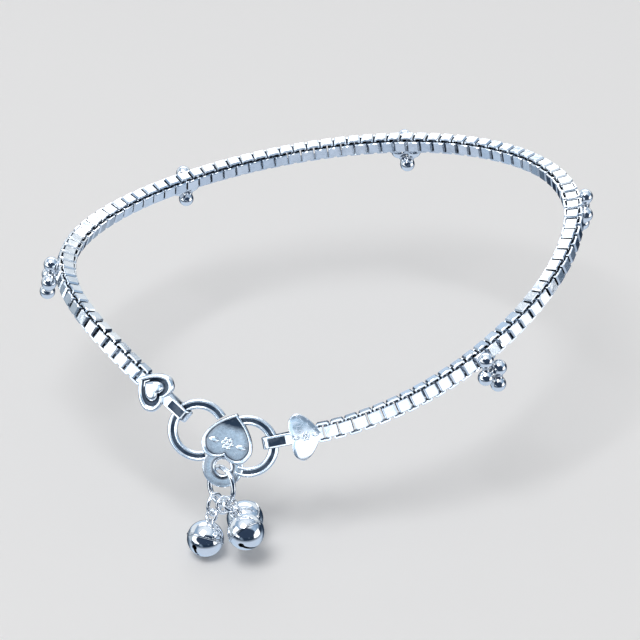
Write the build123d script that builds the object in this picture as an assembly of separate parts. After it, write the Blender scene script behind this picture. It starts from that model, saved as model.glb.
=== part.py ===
from build123d import *
import math
import os

# A payal: a silver box-chain anklet, closed round the ankle in the form it takes
# when worn.  Millimetres, +Z up the leg, -X towards the toes, +X towards the heel.
# The origin is the middle of the loop, where the ankle goes through it.

# ---------------------------------------------------------------- loop
loop_half_length = 43.6      # plan ellipse, toe to heel
loop_half_width = 34.4       # plan ellipse, side to side
# Height of the loop at twelve even steps round it, counter-clockwise from the heel.
# A uniform cubic B-spline smooths these into the line on which the chain lies.
loop_heights = (9.0, 6.0, 2.5, -1.0, -2.5, -1.0, 2.0, 1.0, -14.0, -10.0, -1.5, 7.0)
face_lean_mean = 16.0        # degrees by which the chain's face looks up, on average
face_lean_swing = 16.0       # more by this at the clasp, less by this opposite to it
clasp_angle = 241.0          # where the clasp sits, degrees round the plan ellipse
# The clasp's straight pieces touch a round ankle only in their middles, so the hook
# stands a little outside the loop's line and sags a little below it.
clasp_out = 1.4
clasp_sag = 0.9
arc_steps = 3600

# ---------------------------------------------------------------- box chain
chain_width = 3.2            # square outside section of the chain
link_length = 2.2            # a link, along the chain
link_pitch = 1.25            # from one link to the next, which is turned a quarter
link_side_wall = 0.48        # walls that show
link_end_wall = 0.38         # walls that hook into the neighbours
link_play = 0.16             # each side, between a strip and the link it passes through
link_corner = 0.34           # outside corner bevel
strip_width = chain_width - 2 * (link_side_wall + link_play)

# ---------------------------------------------------------------- clusters of balls
cluster_count = 5
cluster_first = 45.5         # along the chain, from the clasp's middle to the first
ball_radius = 1.33
stem_radius = 0.5            # stem that runs from the top ball to the bottom one
# Balls of one cluster: along the chain, up across its face, out from its middle.
cluster_balls = {
    "top": (0.0, -0.2, 2.5),
    "left": (-1.42, -2.9, 1.95),
    "right": (1.42, -2.9, 1.95),
    "bottom": (0.0, -5.4, 1.4),
}

# ---------------------------------------------------------------- hook clasp
hook_ring_offset = 4.26      # from the middle of the hook to each ring's middle
hook_ring_outer = 5.17
hook_ring_inner = 3.47
ridge_radius = 0.34          # the two round ridges of a ring
groove_web = 0.4             # thickness of the groove between the ridges
hook_mouth_from = 50.0       # the open ring starts here, degrees from the hook's line
hook_mouth_to = 302.0        # and ends here, under the heart
hook_closed_from = -98.0     # the other ring starts here, on the tab
hook_closed_to = 140.0       # and ends here, under the heart
hook_heart_shift = 1.0       # the heart's middle line, from the middle of the hook
hook_heart_width = 8.5
hook_heart_height = 8.1
hook_heart_back = -0.45
hook_heart_face = 0.5
hook_heart_rim = 0.75
hook_heart_top = 4.6         # its tip, above the middle of the hook
hook_field_share = 0.86      # of the heart that is sunk inside its rim
hook_relief_rise = -1.1      # the relief's middle, from the heart's
hook_relief_scale = 1.15
eye_across = 1.4
eye_down = 4.55
eye_radius = 1.25
tab_radius = 3.4
tab_thickness = 0.45
collar_radius = 1.5          # round wire that frames the eye
collar_wire = 0.15

# ---------------------------------------------------------------- end hearts
strap_width = 2.0
strap_wall = 0.48
strap_play = 0.3             # between the strap and the ring that it holds
fold_play = 0.35             # between its fold and the ring's inside
strap_length = 5.6
strap_corner_share = 0.8     # how round the corners are inside its fold
channel_length = 2.4         # shallow channel pressed into the strap's face
channel_width = 1.0
channel_depth = 0.15
band_radius = (hook_ring_outer + hook_ring_inner) / 2
ring_inside = math.sqrt(hook_ring_inner ** 2 - (strap_width / 2) ** 2)
fold_to_band = strap_wall + fold_play + band_radius - ring_inside
neck_overlap = 0.2           # the neck joins the strap to the fixed link inside each
neck_height = 1.6
facing_pull = 4.0            # the end faces this much more like the chain than the hook
heart_back = 1.1             # height of the plate's back over the chain's middle
heart_face = 1.75
heart_rim = 2.1
stub_reach = 0.35            # how far the fixed end link shows past the heart's tip
border_share = 0.74          # of a bordered heart that is sunk inside its border
dome_steps = ((0.52, 2.0), (0.36, 2.2))   # the small heart inside a bordered one
end_relief_scale = 0.8
# Each end: heart's width across, its length, where its lobes start, its border, and
# how far round the ring the strap has slid, in degrees.
end_sizes = {
    "left": dict(width=7.0, length=5.8, lobes_at=4.6, bordered=True, slid=-4.0),
    "right": dict(width=7.8, length=5.1, lobes_at=4.7, bordered=False, slid=0.0),
}

# ---------------------------------------------------------------- bells
bell_radius = 3.05
bell_wall = 0.35
bell_seam_proud = 0.12
bell_seam_height = 0.34
bell_slit = 0.55
bell_slit_end = 0.5          # radius of the round holes that end the slit
bell_slit_turn = 50.0        # and how far round from the bottom they are
bell_loop_radius = 0.95
bell_loop_wire = 0.3
bell_loop_sunk = 0.15        # soldered this deep into the bell's top
bell_drop = bell_radius + bell_loop_radius - bell_loop_sunk
pellet_radius = 0.75
hanger_radius = 3.1
hanger_wire = 0.43
hanger_turn = 54.0           # how far the big ring turns from square to the leg
hanger_seat = 0.2            # its wire's middle, below the eye's
bell_link_wire = 0.33
ring_play = 0.1
hang_lean = 20.0             # the bells lie against the ankle, so hang out this much
# Each bell: where its link rides on the big ring, in degrees from the lowest point,
# then the bell's middle to the right of, below and in front of the eye.
bells = (
    ("1", -22.0, -1.57, 12.13, 2.0),
    ("2", 45.0, 5.45, 9.34, 3.3),
    ("3", 8.0, 3.68, 9.58, -3.2),
)

# ---------------------------------------------------------------- relief
relief_height = 0.22         # of a leaf over the face that it stands on
petal_height = 0.17
petal_radius = 0.36
petal_count = 6
petal_spread = 0.63          # from the flower's middle to each petal's
leaf_length = 1.7
leaf_width = 0.85
leaf_start = 1.15            # from the flower's middle

# A heart's right half from tip to notch, as shares of its width and height.
# The tip is at the top, 0 is the middle line and the middle of the height.
heart_half = (
    (0.235, 0.31), (0.405, 0.10), (0.49, -0.10), (0.495, -0.26), (0.40, -0.44),
    (0.25, -0.50), (0.09, -0.46),
)
heart_notch = -0.385


# ================================================================ the loop
def spline_height(turn):
    """Height of the loop at a share of the whole turn."""
    count = len(loop_heights)
    step = turn * count
    first = math.floor(step)
    u = step - first
    weights = (
        (1 - u) ** 3,
        3 * u ** 3 - 6 * u ** 2 + 4,
        -3 * u ** 3 + 3 * u ** 2 + 3 * u + 1,
        u ** 3,
    )
    return sum(w * loop_heights[(first - 1 + k) % count] for k, w in enumerate(weights)) / 6


def loop_point(angle):
    """Point of the loop at an angle of the plan ellipse, in degrees."""
    a = math.radians(angle)
    return Vector(
        loop_half_length * math.cos(a),
        loop_half_width * math.sin(a),
        spline_height(angle / 360.0),
    )


def measure_loop():
    """Length along the loop at each small step of angle, from the clasp's middle."""
    lengths = [0.0]
    before = loop_point(clasp_angle)
    for step in range(1, arc_steps + 1):
        point = loop_point(clasp_angle + 360.0 * step / arc_steps)
        lengths.append(lengths[-1] + (point - before).length)
        before = point
    return lengths


loop_lengths = measure_loop()
loop_length = loop_lengths[-1]


def angle_at(arc):
    """Angle of the plan ellipse at a length along the loop from the clasp."""
    arc = arc % loop_length
    low, high = 0, arc_steps
    while high - low > 1:
        middle = (low + high) // 2
        if loop_lengths[middle] <= arc:
            low = middle
        else:
            high = middle
    share = (arc - loop_lengths[low]) / (loop_lengths[high] - loop_lengths[low])
    return clasp_angle + 360.0 * (low + share) / arc_steps


def face_normal(angle, along):
    """Direction in which the chain's face looks, square to the way that it runs."""
    lean = face_lean_mean + face_lean_swing * math.cos(math.radians(angle - clasp_angle))
    outward = along.cross(Vector(0, 0, 1)).normalized()
    upward = outward.cross(along)
    lean = math.radians(lean)
    return outward * math.cos(lean) + upward * math.sin(lean)


def loop_plane(arc):
    """Plane on the loop: X runs along the chain, Y up its face and Z out of it."""
    angle = angle_at(arc)
    step = 360.0 / arc_steps
    along = (loop_point(angle + step) - loop_point(angle - step)).normalized()
    return Plane(origin=loop_point(angle), x_dir=along, z_dir=face_normal(angle, along))


def clasp_plane():
    """Plane of the hook: X from its open ring to its closed one, Z out of its face."""
    on_loop = loop_plane(0)
    outward = on_loop.x_dir.cross(Vector(0, 0, 1)).normalized()
    middle = on_loop.origin + outward * clasp_out - Vector(0, 0, clasp_sag)
    return Plane(origin=middle, x_dir=on_loop.x_dir, z_dir=on_loop.z_dir)


# ================================================================ chain
def face_link():
    """Link whose flat walls are the chain's front and back."""
    half_l, half_w = link_length / 2, chain_width / 2
    c = link_corner
    outline = Polyline(
        (-half_l + c, -half_w), (half_l - c, -half_w), (half_l, -half_w + c),
        (half_l, half_w - c), (half_l - c, half_w), (-half_l + c, half_w),
        (-half_l, half_w - c), (-half_l, -half_w + c), close=True,
    )
    hole = Rectangle(link_length - 2 * link_end_wall, chain_width - 2 * link_side_wall)
    ring = make_face(outline) - hole
    flat = extrude(ring, amount=strip_width / 2, both=True)
    return flat.rotate(Axis.X, 90)


def side_link():
    """Link turned a quarter, whose flat walls are the chain's two edges."""
    return face_link().rotate(Axis.X, 90)


def held_point(name, target):
    """Middle of the ring's band where the strap of one end pulls towards a target."""
    hook = clasp_plane()
    side = 1 if name == "right" else -1
    middle = hook.origin + hook.x_dir * (hook_ring_offset * side)
    pull = target - middle
    angle = math.atan2(pull.dot(hook.y_dir), pull.dot(hook.x_dir))
    angle += math.radians(end_sizes[name]["slid"])
    return middle + (hook.x_dir * math.cos(angle) + hook.y_dir * math.sin(angle)) * band_radius


def chain_end_reach(name):
    """From the middle of the held band to the middle of the first loose link."""
    size = end_sizes[name]
    tip = size["lobes_at"] + size["length"]
    return tip + stub_reach - link_length / 2 + link_pitch - fold_to_band


def chain_end_arc(name):
    """Length along the loop at which the first loose link of one end lies."""
    side = 1 if name == "right" else -1
    reach = chain_end_reach(name)
    near, far = hook_ring_outer, 4 * reach
    while far - near > 1e-6:
        arc = (near + far) / 2
        target = loop_plane(side * arc).origin
        if (target - held_point(name, target)).length < reach:
            near = arc
        else:
            far = arc
    return side * near


def link_arcs():
    """Lengths along the loop of every loose link, from the right end to the left."""
    start = chain_end_arc("right")
    run = loop_length + chain_end_arc("left") - start
    count = 2 * round(run / link_pitch / 2)
    return [start + run * k / count for k in range(count + 1)]


def cluster_links(arcs):
    """Numbers of the links that carry the clusters: face links, which are odd."""
    last = loop_length - cluster_first
    chosen = []
    for k in range(cluster_count):
        wanted = cluster_first + (last - cluster_first) * k / (cluster_count - 1)
        odd = range(1, len(arcs) - 1, 2)
        chosen.append(min(odd, key=lambda number: abs(arcs[number] - wanted)))
    return chosen


def bead_cluster():
    """Four balls soldered along a stem and to the face link that carries them."""
    balls = [Pos(*middle) * Sphere(ball_radius) for middle in cluster_balls.values()]
    top, bottom = Vector(cluster_balls["top"]), Vector(cluster_balls["bottom"])
    run = bottom - top
    middle = Plane(origin=(top + bottom) * 0.5, z_dir=run.normalized())
    stem = middle.location * Cylinder(stem_radius, run.length)
    return face_link().fuse(stem, *balls)


# ================================================================ hearts and relief
def heart_face_2d(width, height):
    """Flat heart with its tip up, centred on its own width and height."""
    right = [(x * width, y * height) for x, y in heart_half]
    left = [(-x, y) for x, y in reversed(right)]
    tip = (0, height / 2)
    notch = (0, heart_notch * height)
    edges = Spline(tip, *right, notch) + Spline(notch, *left, tip)
    return make_face(edges)


def leaf(length, width):
    """Pointed leaf between two arcs, lying along X from the origin."""
    top = ThreePointArc((0, 0), (length / 2, width / 2), (length, 0))
    bottom = ThreePointArc((length, 0), (length / 2, -width / 2), (0, 0))
    return make_face(top + bottom)


def flower_relief(base, scale):
    """Small raised flower between two leaves, standing on a face at height base."""
    solids = [Pos(0, 0, base) * Cylinder(petal_radius * scale, 2 * relief_height)]
    petal = Pos(petal_spread * scale, 0, 0) * Cylinder(petal_radius * scale, 2 * petal_height)
    for k in range(petal_count):
        solids.append(Pos(0, 0, base) * Rot(0, 0, 360 * k / petal_count) * petal)
    blade = extrude(leaf(leaf_length * scale, leaf_width * scale), relief_height, both=True)
    for turn in (0, 180):
        solids.append(Pos(0, 0, base) * Rot(0, 0, turn) * Pos(leaf_start * scale, 0, 0) * blade)
    return solids


# ================================================================ clasp hook
def ridged_ring(start, end):
    """Ring of two round ridges with a groove between, from one angle to another."""
    outer = hook_ring_outer - ridge_radius
    inner = hook_ring_inner + ridge_radius
    section = Pos(outer, 0) * Circle(ridge_radius)
    section += Pos(inner, 0) * Circle(ridge_radius)
    section += Pos((outer + inner) / 2, 0) * Rectangle(outer - inner, groove_web)
    profile = Plane.XZ * section
    ring = revolve(profile, Axis.Z, end - start)
    return ring.rotate(Axis.Z, start)


def clasp_hook():
    """S-shaped hook: two ridged rings, the heart over them and the tab for the bells."""
    open_ring = Pos(-hook_ring_offset, 0, 0) * ridged_ring(hook_mouth_from, hook_mouth_to)
    closed_ring = Pos(hook_ring_offset, 0, 0) * ridged_ring(
        hook_closed_from, hook_closed_to
    )
    at_heart = Pos(hook_heart_shift, hook_heart_top - hook_heart_height / 2, 0)
    outline = heart_face_2d(hook_heart_width, hook_heart_height)
    field = heart_face_2d(
        hook_heart_width * hook_field_share, hook_heart_height * hook_field_share
    )
    body = extrude(outline, hook_heart_face - hook_heart_back)
    rim = extrude(outline - field, hook_heart_rim - hook_heart_back)
    at_back = at_heart * Pos(0, 0, hook_heart_back)
    at_eye = Pos(eye_across, -eye_down, 0)
    tab = at_eye * Cylinder(tab_radius, tab_thickness)
    hook = open_ring.fuse(closed_ring, at_back * body, at_back * rim, tab)
    hook = hook.fuse(at_eye * Pos(0, 0, tab_thickness / 2) * Torus(collar_radius, collar_wire))
    for solid in flower_relief(hook_heart_face, hook_relief_scale):
        hook = hook.fuse(at_heart * Pos(0, hook_relief_rise, 0) * solid)
    return hook.cut(at_eye * Cylinder(eye_radius, 4 * tab_thickness))


# ================================================================ end hearts
def strap():
    """Strip folded round the hook's ring, from its fold at X = 0 to under the heart."""
    band = hook_ring_outer - hook_ring_inner
    gap = 2 * ridge_radius + 2 * strap_play
    opening = band + 2 * strap_play
    outer_half = gap / 2 + strap_wall
    inner_half = gap / 2
    length = strap_length
    outline = make_face(
        Polyline((outer_half, -outer_half), (length, -outer_half), (length, outer_half),
                 (outer_half, outer_half))
        + ThreePointArc((outer_half, outer_half), (0, 0), (outer_half, -outer_half))
    )
    hole = Pos(strap_wall + opening / 2, 0) * RectangleRounded(
        opening, gap, inner_half * strap_corner_share
    )
    section = Plane.XZ * (outline - hole)
    strip = extrude(section, strap_width / 2, both=True)
    channel = Box(channel_length, channel_width, 2 * channel_depth)
    return strip.cut(Pos(outer_half + channel_length / 2, 0, outer_half) * channel)


def end_heart(name):
    """End of the chain: strap, heart and the fixed link, X from the hook to the chain."""
    size = end_sizes[name]
    tip = size["lobes_at"] + size["length"]
    outline = heart_face_2d(size["width"], size["length"])
    turned = Pos(size["lobes_at"] + size["length"] / 2, 0, 0) * Rot(0, 0, -90)
    plate = turned * Pos(0, 0, heart_back) * extrude(outline, heart_face - heart_back)
    stub = Pos(tip + stub_reach - link_length / 2, 0, 0) * face_link()
    stub_back = tip + stub_reach - link_length
    neck_from = strap_length - neck_overlap
    neck_to = stub_back + neck_overlap
    neck_top = heart_back + neck_overlap
    neck = Pos((neck_from + neck_to) / 2, 0, neck_top - neck_height / 2) * Box(
        neck_to - neck_from, strip_width, neck_height
    )
    cap = strap().fuse(plate, stub, neck)
    if size["bordered"]:
        field = heart_face_2d(size["width"] * border_share, size["length"] * border_share)
        border = turned * Pos(0, 0, heart_back) * extrude(
            outline - field, heart_rim - heart_back
        )
        cap = cap.fuse(border)
        for share, top in dome_steps:
            inner = heart_face_2d(size["width"] * share, size["length"] * share)
            step = turned * Pos(0, 0, heart_back) * extrude(inner, top - heart_back)
            cap = cap.fuse(step)
    else:
        middle = size["lobes_at"] + size["length"] / 2
        for solid in flower_relief(heart_face, end_relief_scale):
            cap = cap.fuse(Pos(middle, 0, 0) * solid)
    return cap


def end_plane(name):
    """Plane of one end: X from the strap's fold towards its first loose link."""
    target = loop_plane(chain_end_arc(name))
    held = held_point(name, target.origin)
    away = (target.origin - held).normalized()
    facing = clasp_plane().z_dir + target.z_dir * facing_pull
    facing = (facing - away * facing.dot(away)).normalized()
    return Plane(origin=held - away * fold_to_band, x_dir=away, z_dir=facing)


# ================================================================ bells
def bell():
    """Hollow round bell with its loop, hanging down -Z from the loop's middle."""
    ball = Sphere(bell_radius)
    seam = Cylinder(bell_radius + bell_seam_proud, bell_seam_height)
    loop = Pos(0, 0, bell_drop) * Rot(90, 0, 0) * Torus(bell_loop_radius, bell_loop_wire)
    body = ball.fuse(seam, loop)
    body = body.cut(Sphere(bell_radius - bell_wall))
    reach = bell_radius * math.sin(math.radians(bell_slit_turn))
    slit = Pos(0, 0, -bell_radius) * Box(bell_slit, 2 * reach, bell_radius)
    body = body.cut(slit)
    for side in (-1, 1):
        drill = Cylinder(bell_slit_end, 2 * bell_radius,
                         align=(Align.CENTER, Align.CENTER, Align.MAX))
        body = body.cut(Rot(side * bell_slit_turn, 0, 0) * drill)
    return body


def bunch_axes():
    """Eye of the hook, and the directions right, down and forward of the hanging bells."""
    hook = clasp_plane()
    eye = hook.origin + hook.x_dir * eye_across - hook.y_dir * eye_down
    outward = hook.x_dir.cross(Vector(0, 0, 1)).normalized()
    lean = math.radians(hang_lean)
    right = Vector(-outward.Y, outward.X, 0)
    down = Vector(0, 0, -math.cos(lean)) + outward * math.sin(lean)
    forward = outward * math.cos(lean) + Vector(0, 0, math.sin(lean))
    return eye, right, down, forward


def hanger_plane():
    """Plane of the big ring: X is its own sideways direction, Y is up."""
    eye, right, down, forward = bunch_axes()
    turn = math.radians(hanger_turn)
    sideways = forward * math.cos(turn) + right * math.sin(turn)
    middle = eye + down * (hanger_seat + hanger_radius)
    return Plane(origin=middle, x_dir=sideways, z_dir=sideways.cross(down * -1))


def hanger_ring():
    """Big ring through the eye of the hook."""
    return hanger_plane().location * Torus(hanger_radius, hanger_wire)


def bell_frames(ring_angle, right_by, down_by, forward_by):
    """Planes of a bell's link and of the bell, with the link's radius."""
    eye, right, down, forward = bunch_axes()
    middle = eye + right * right_by + down * down_by + forward * forward_by
    ring = hanger_plane()
    a = math.radians(ring_angle)
    seat = ring.origin + (down * math.cos(a) + ring.x_dir * math.sin(a)) * hanger_radius
    wire_way = ring.x_dir * math.cos(a) - down * math.sin(a)
    away = (middle - seat).normalized()
    slant = math.sqrt(1 - wire_way.dot(away) ** 2)
    upper = (hanger_wire + bell_link_wire + ring_play) / slant
    lower = bell_link_wire + bell_loop_wire + ring_play
    reach = (middle - seat).length - bell_drop - bell_loop_radius
    radius = (reach + upper + lower) / 2
    normal = (wire_way - away * wire_way.dot(away)).normalized()
    link = Plane(origin=seat + away * (radius - upper), x_dir=away, z_dir=normal)
    body = Plane(origin=middle, x_dir=normal, z_dir=away * -1)
    return link, body, radius


# ================================================================ everything
def build():
    """Every node of the anklet by name, in its place."""
    nodes = {}
    hook = clasp_plane()
    nodes["clasp_hook"] = hook.location * clasp_hook()
    for name in end_sizes:
        nodes[name + "_end_heart"] = end_plane(name).location * end_heart(name)
    arcs = link_arcs()
    carriers = cluster_links(arcs)
    shapes = (side_link(), face_link())
    loose = [
        loop_plane(arc).location * shapes[number % 2]
        for number, arc in enumerate(arcs) if number not in carriers
    ]
    nodes["box_chain"] = Compound(children=[Solid(link.solid().wrapped) for link in loose])
    cluster = bead_cluster()
    for count, number in enumerate(carriers, start=1):
        nodes[f"bead_cluster_{count}"] = loop_plane(arcs[number]).location * cluster
    nodes["bell_hanger_ring"] = hanger_ring()
    for name, *place in bells:
        link, body, radius = bell_frames(*place)
        nodes["bell_link_" + name] = link.location * Torus(radius, bell_link_wire)
        nodes["bell_" + name] = body.location * bell()
        rest = bell_radius - bell_wall - pellet_radius - ring_play
        nodes["bell_pellet_" + name] = body.location * Pos(0, 0, -rest) * Sphere(pellet_radius)
    return nodes


def main():
    os.makedirs("parts", exist_ok=True)
    nodes = build()
    for name, shape in nodes.items():
        export_step(shape, f"parts/{name}.step")
    print("loop length", round(loop_length, 1), "loose links", len(nodes["box_chain"].solids()))


main()
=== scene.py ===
import math

import bmesh
import bpy
from mathutils import Matrix, Vector


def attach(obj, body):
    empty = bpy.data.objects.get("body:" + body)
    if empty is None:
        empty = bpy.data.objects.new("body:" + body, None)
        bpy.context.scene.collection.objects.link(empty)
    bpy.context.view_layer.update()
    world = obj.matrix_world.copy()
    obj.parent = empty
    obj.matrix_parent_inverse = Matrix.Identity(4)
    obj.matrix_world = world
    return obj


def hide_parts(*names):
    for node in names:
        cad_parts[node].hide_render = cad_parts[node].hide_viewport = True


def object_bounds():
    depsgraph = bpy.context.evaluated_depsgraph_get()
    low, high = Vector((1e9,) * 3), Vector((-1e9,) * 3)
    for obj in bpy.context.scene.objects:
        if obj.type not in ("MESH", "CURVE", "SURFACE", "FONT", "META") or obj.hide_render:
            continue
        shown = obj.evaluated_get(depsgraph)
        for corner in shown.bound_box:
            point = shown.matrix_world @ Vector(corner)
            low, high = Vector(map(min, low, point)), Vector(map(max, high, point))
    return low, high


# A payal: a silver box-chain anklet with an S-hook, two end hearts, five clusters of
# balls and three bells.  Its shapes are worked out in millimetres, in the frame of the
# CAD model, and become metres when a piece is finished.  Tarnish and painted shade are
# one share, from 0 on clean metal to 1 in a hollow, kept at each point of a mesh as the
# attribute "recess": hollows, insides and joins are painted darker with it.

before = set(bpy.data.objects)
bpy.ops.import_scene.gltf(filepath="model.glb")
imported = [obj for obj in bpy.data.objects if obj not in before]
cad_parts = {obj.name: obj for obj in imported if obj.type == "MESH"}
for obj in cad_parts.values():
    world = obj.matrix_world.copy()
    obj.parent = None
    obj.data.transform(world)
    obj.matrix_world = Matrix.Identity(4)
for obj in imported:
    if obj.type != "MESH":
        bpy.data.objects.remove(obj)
cad_low, cad_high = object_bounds()

MM = 0.001
BODY = "root"
UPWARD = Vector((0, 0, 1))
NO_MOVE = Matrix.Identity(4)
MERGE = 1e-5                 # points nearer than this are one

# ---------------------------------------------------------------- loop
loop_half_length = 43.6      # of the oval that the loop is in plan
loop_half_width = 34.4
# Its heights at twelve even steps round it, counter-clockwise from the heel.
loop_heights = (9.0, 6.0, 2.5, -1.0, -2.5, -1.0, 2.0, 1.0, -14.0, -10.0, -1.5, 7.0)
face_lean_mean = 16.0        # degrees that the chain's face looks upward
face_lean_swing = 16.0       # more than that at the clasp, and less across from it
clasp_angle = 241.0          # where the clasp's middle is on the oval
clasp_out = 1.4              # how far the hook stands out of the loop
clasp_sag = 0.9              # how far it hangs under the loop
arc_steps = 3600
arc_closeness = 1e-6         # with which the chain's ends are found

# ---------------------------------------------------------------- box chain
chain_width = 3.2
link_length = 2.2
link_pitch = 1.25
link_side_wall = 0.48        # of the CAD model's links, for the strip's width
link_wall = 0.44             # the strip that a link is bent from
link_play = 0.16             # between a link's strip and the walls that it lies between
link_bend = 0.13             # bend at a link's corners, along the middle of its wall
link_edge = 0.1              # how far the strip's edges are rounded
link_wobble = 1.3            # degrees that a loose link may lean on its neighbours
strip_width = chain_width - 2 * (link_side_wall + link_play)

# ---------------------------------------------------------------- clusters of balls
cluster_count = 5
cluster_first = 45.5         # along the loop from the clasp, and the last as far from it
ball_radius = 1.33
# Balls of one cluster: along the chain, up across its face, out from its middle.
cluster_balls = {
    "top": (0.0, -0.2, 2.5),
    "left": (-1.42, -2.9, 1.95),
    "right": (1.42, -2.9, 1.95),
    "bottom": (0.0, -5.4, 1.4),
}
solder_joints = (("top", "left"), ("top", "right"), ("left", "right"),
                 ("left", "bottom"), ("right", "bottom"))
solder_hollow = 0.65         # radius of the hollow where solder runs between two balls
solder_tarnish_and_shade = (0.1, 0.3)  # tarnish and painted shade where it meets a ball, and at its waist
seat_below = 1.15            # foot of the top ball, under the ball's middle

# ---------------------------------------------------------------- hook clasp
hook_ring_offset = 4.26      # from the middle of the hook to each ring's middle
hook_ring_outer = 5.17
hook_ring_inner = 3.47
ridge_height = 0.4           # a ridge's top over the ring's middle plane
ridge_share = 0.38           # of the ring's width that each ridge takes
groove_floor = 0.15          # half the thickness between the ridges
groove_dark_from = 0.74      # share of a ridge's height where its inner side starts to be painted darker: painted shade and tarnish in the groove
groove_fade = 0.3            # over which share of the height it becomes all dark
ring_end_bevel = 1.4         # degrees over which a ring's end is rounded
ring_end_share = 0.55        # of its section, towards which the end is drawn in
open_ring_from = 46.5        # the open ring starts here, degrees from the hook's line
open_ring_to = 302.0         # and ends here, under the heart
closed_ring_from = -98.0     # the other ring starts here, on the tab
closed_ring_to = 140.0       # and ends here, under the heart
hook_heart_shift = 1.0       # the heart's middle line, from the middle of the hook
hook_heart_width = 8.5
hook_heart_height = 8.1
hook_heart_back = -0.45
hook_heart_face = 0.5
hook_heart_rim = 0.75
hook_heart_top = 4.6         # its tip, above the middle of the hook
hook_field_share = 0.86      # of the heart's outline, inside its border
# Tarnish and painted shade over the sunk field of the hook's heart.
hook_field_tarnish_and_shade = 0.4
hook_hollow_from = 1.1       # hollow of the field under the heart's tip, up from its middle
hook_hollow_fade = 1.3
hook_hollow_depth = 0.03
hook_hollow_half_width = 2.5
hook_relief_rise = -1.1      # the relief's middle, from the heart's
hook_relief_scale = 1.15
eye_across = 1.4             # the tab's eye, from the middle of the hook
eye_down = 4.55
eye_radius = 1.25
tab_radius = 3.4
tab_thickness = 0.45
tab_dish_radius = 2.2        # inside which the tab's face is sunk
collar_radius = 1.5          # round wire that frames the eye
collar_wire = 0.17

# ---------------------------------------------------------------- end hearts
strap_width = 2.0
strap_wall = 0.48
strap_play = 0.3             # between the strap and the ring that it holds
strap_edge = 0.12
fold_play = 0.35             # between its fold and the ring's inside
band_thickness = 0.68        # of the hook's rings in the CAD model
strap_gap = band_thickness + 2 * strap_play
strap_length = 5.6
strap_corner_share = 0.8     # how round the corners are inside its fold
strap_inside_to = 3.2        # how far from its fold the strap is painted darker inside: painted shade and tarnish
channel_from = 0.95          # channel pressed into the strap's face, from its fold
channel_to = 3.85
channel_width = 1.36
channel_depth = 0.16
channel_side = 0.08          # width of its sloping sides
channel_end = 0.1            # length of its sloping ends
band_radius = (hook_ring_outer + hook_ring_inner) / 2
ring_inside = math.sqrt(hook_ring_inner ** 2 - (strap_width / 2) ** 2)
fold_to_band = strap_wall + fold_play + band_radius - ring_inside
neck_overlap = 0.2           # the neck joins the strap to the fixed link inside each
neck_height = 1.6
neck_edge = 0.15
facing_pull = 4.0            # the end faces this much more like the chain than the hook
heart_back = 1.1             # height of the plate's back over the chain's middle
heart_face = 1.75
heart_rim = 2.1
small_heart_top = 2.22
stub_reach = 0.35            # how far the fixed end link shows past the heart's tip
border_share = 0.74          # of a bordered heart that is sunk inside its border
end_relief_scale = 0.8
heart_crown = 0.24           # how far the plain heart's sides bend back from its middle
# Each end: its heart's width and length, where its lobes start, its border, and how
# far round the ring its strap has slid, in degrees.
end_sizes = {
    "left": dict(width=7.0, length=5.8, lobes_at=4.6, bordered=True, slid=-4.0),
    "right": dict(width=7.8, length=5.1, lobes_at=4.7, bordered=False, slid=0.0),
}

# ---------------------------------------------------------------- bells
bell_radius = 3.05
bell_wall = 0.35
bell_seam_proud = 0.12
bell_seam_height = 0.34
bell_slit = 0.55
slit_edge = 0.02
bell_slit_end = 0.5          # radius of the round holes at the slit's ends
bell_slit_turn = 50.0        # degrees from the bottom to each of them
bell_loop_radius = 0.95
bell_loop_wire = 0.3
bell_loop_sunk = 0.15        # soldered this deep into the bell's top
bell_drop = bell_radius + bell_loop_radius - bell_loop_sunk
hanger_radius = 3.1
hanger_wire = 0.43
hanger_turn = 54.0           # degrees that the big ring turns from square to the leg
hanger_seat = 0.2            # its wire's middle, below the eye's
bell_link_wire = 0.33
ring_play = 0.1
hang_lean = 20.0             # degrees that the bunch hangs out from the ankle
# Each bell: where its link rides on the big ring, in degrees from the lowest point,
# then the bell's middle to the right of, below and in front of the eye.
bells = (
    ("1", -22.0, -1.57, 12.13, 2.0),
    ("2", 45.0, 5.45, 9.34, 3.3),
    ("3", 8.0, 3.68, 9.58, -3.2),
)
bell_link_cut = (100.0, 3.0)     # where a jump ring is cut, and how wide, in degrees
hanger_cut = (-50.0, 1.6)
# Tarnish and painted shade on the butted ends at a jump ring's cut.
cut_tarnish_and_shade = 0.8

# ---------------------------------------------------------------- relief
relief_height = 0.22         # of a leaf and of the flower's eye, over their face
flower_eye_radius = 0.324
petal_height = 0.17
petal_radius = 0.3312
petal_count = 6
petal_spread = 0.63          # from the flower's middle to each petal's
leaf_length = 1.7
leaf_width = 0.85
leaf_start = 1.15            # from the flower's middle
leaf_fullness = 0.8          # under 1 it is blunter than a sine's arch
dome_levels = (              # share of the outline, share of the height, tarnish and painted shade
    (1.0, -0.1, 1.0), (1.0, 0.25, 0.8), (0.94, 0.6, 0.1),
    (0.75, 0.88, 0.0), (0.4, 0.99, 0.0), (0.0, 1.0, 0.0),
)

# A heart's right half from tip to notch, as shares of its width and height.
heart_half = (
    (0.0, 0.5), (0.235, 0.31), (0.405, 0.10), (0.49, -0.10), (0.495, -0.26),
    (0.40, -0.44), (0.25, -0.50), (0.09, -0.46), (0.0, -0.385),
)


# ================================================================ the loop
def placed(origin, x_dir, z_dir):
    """Matrix that carries a piece's own X and Z to two directions at a point."""
    turn = Matrix((x_dir, z_dir.cross(x_dir), z_dir)).transposed()
    return Matrix.Translation(origin) @ turn.to_4x4()


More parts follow.
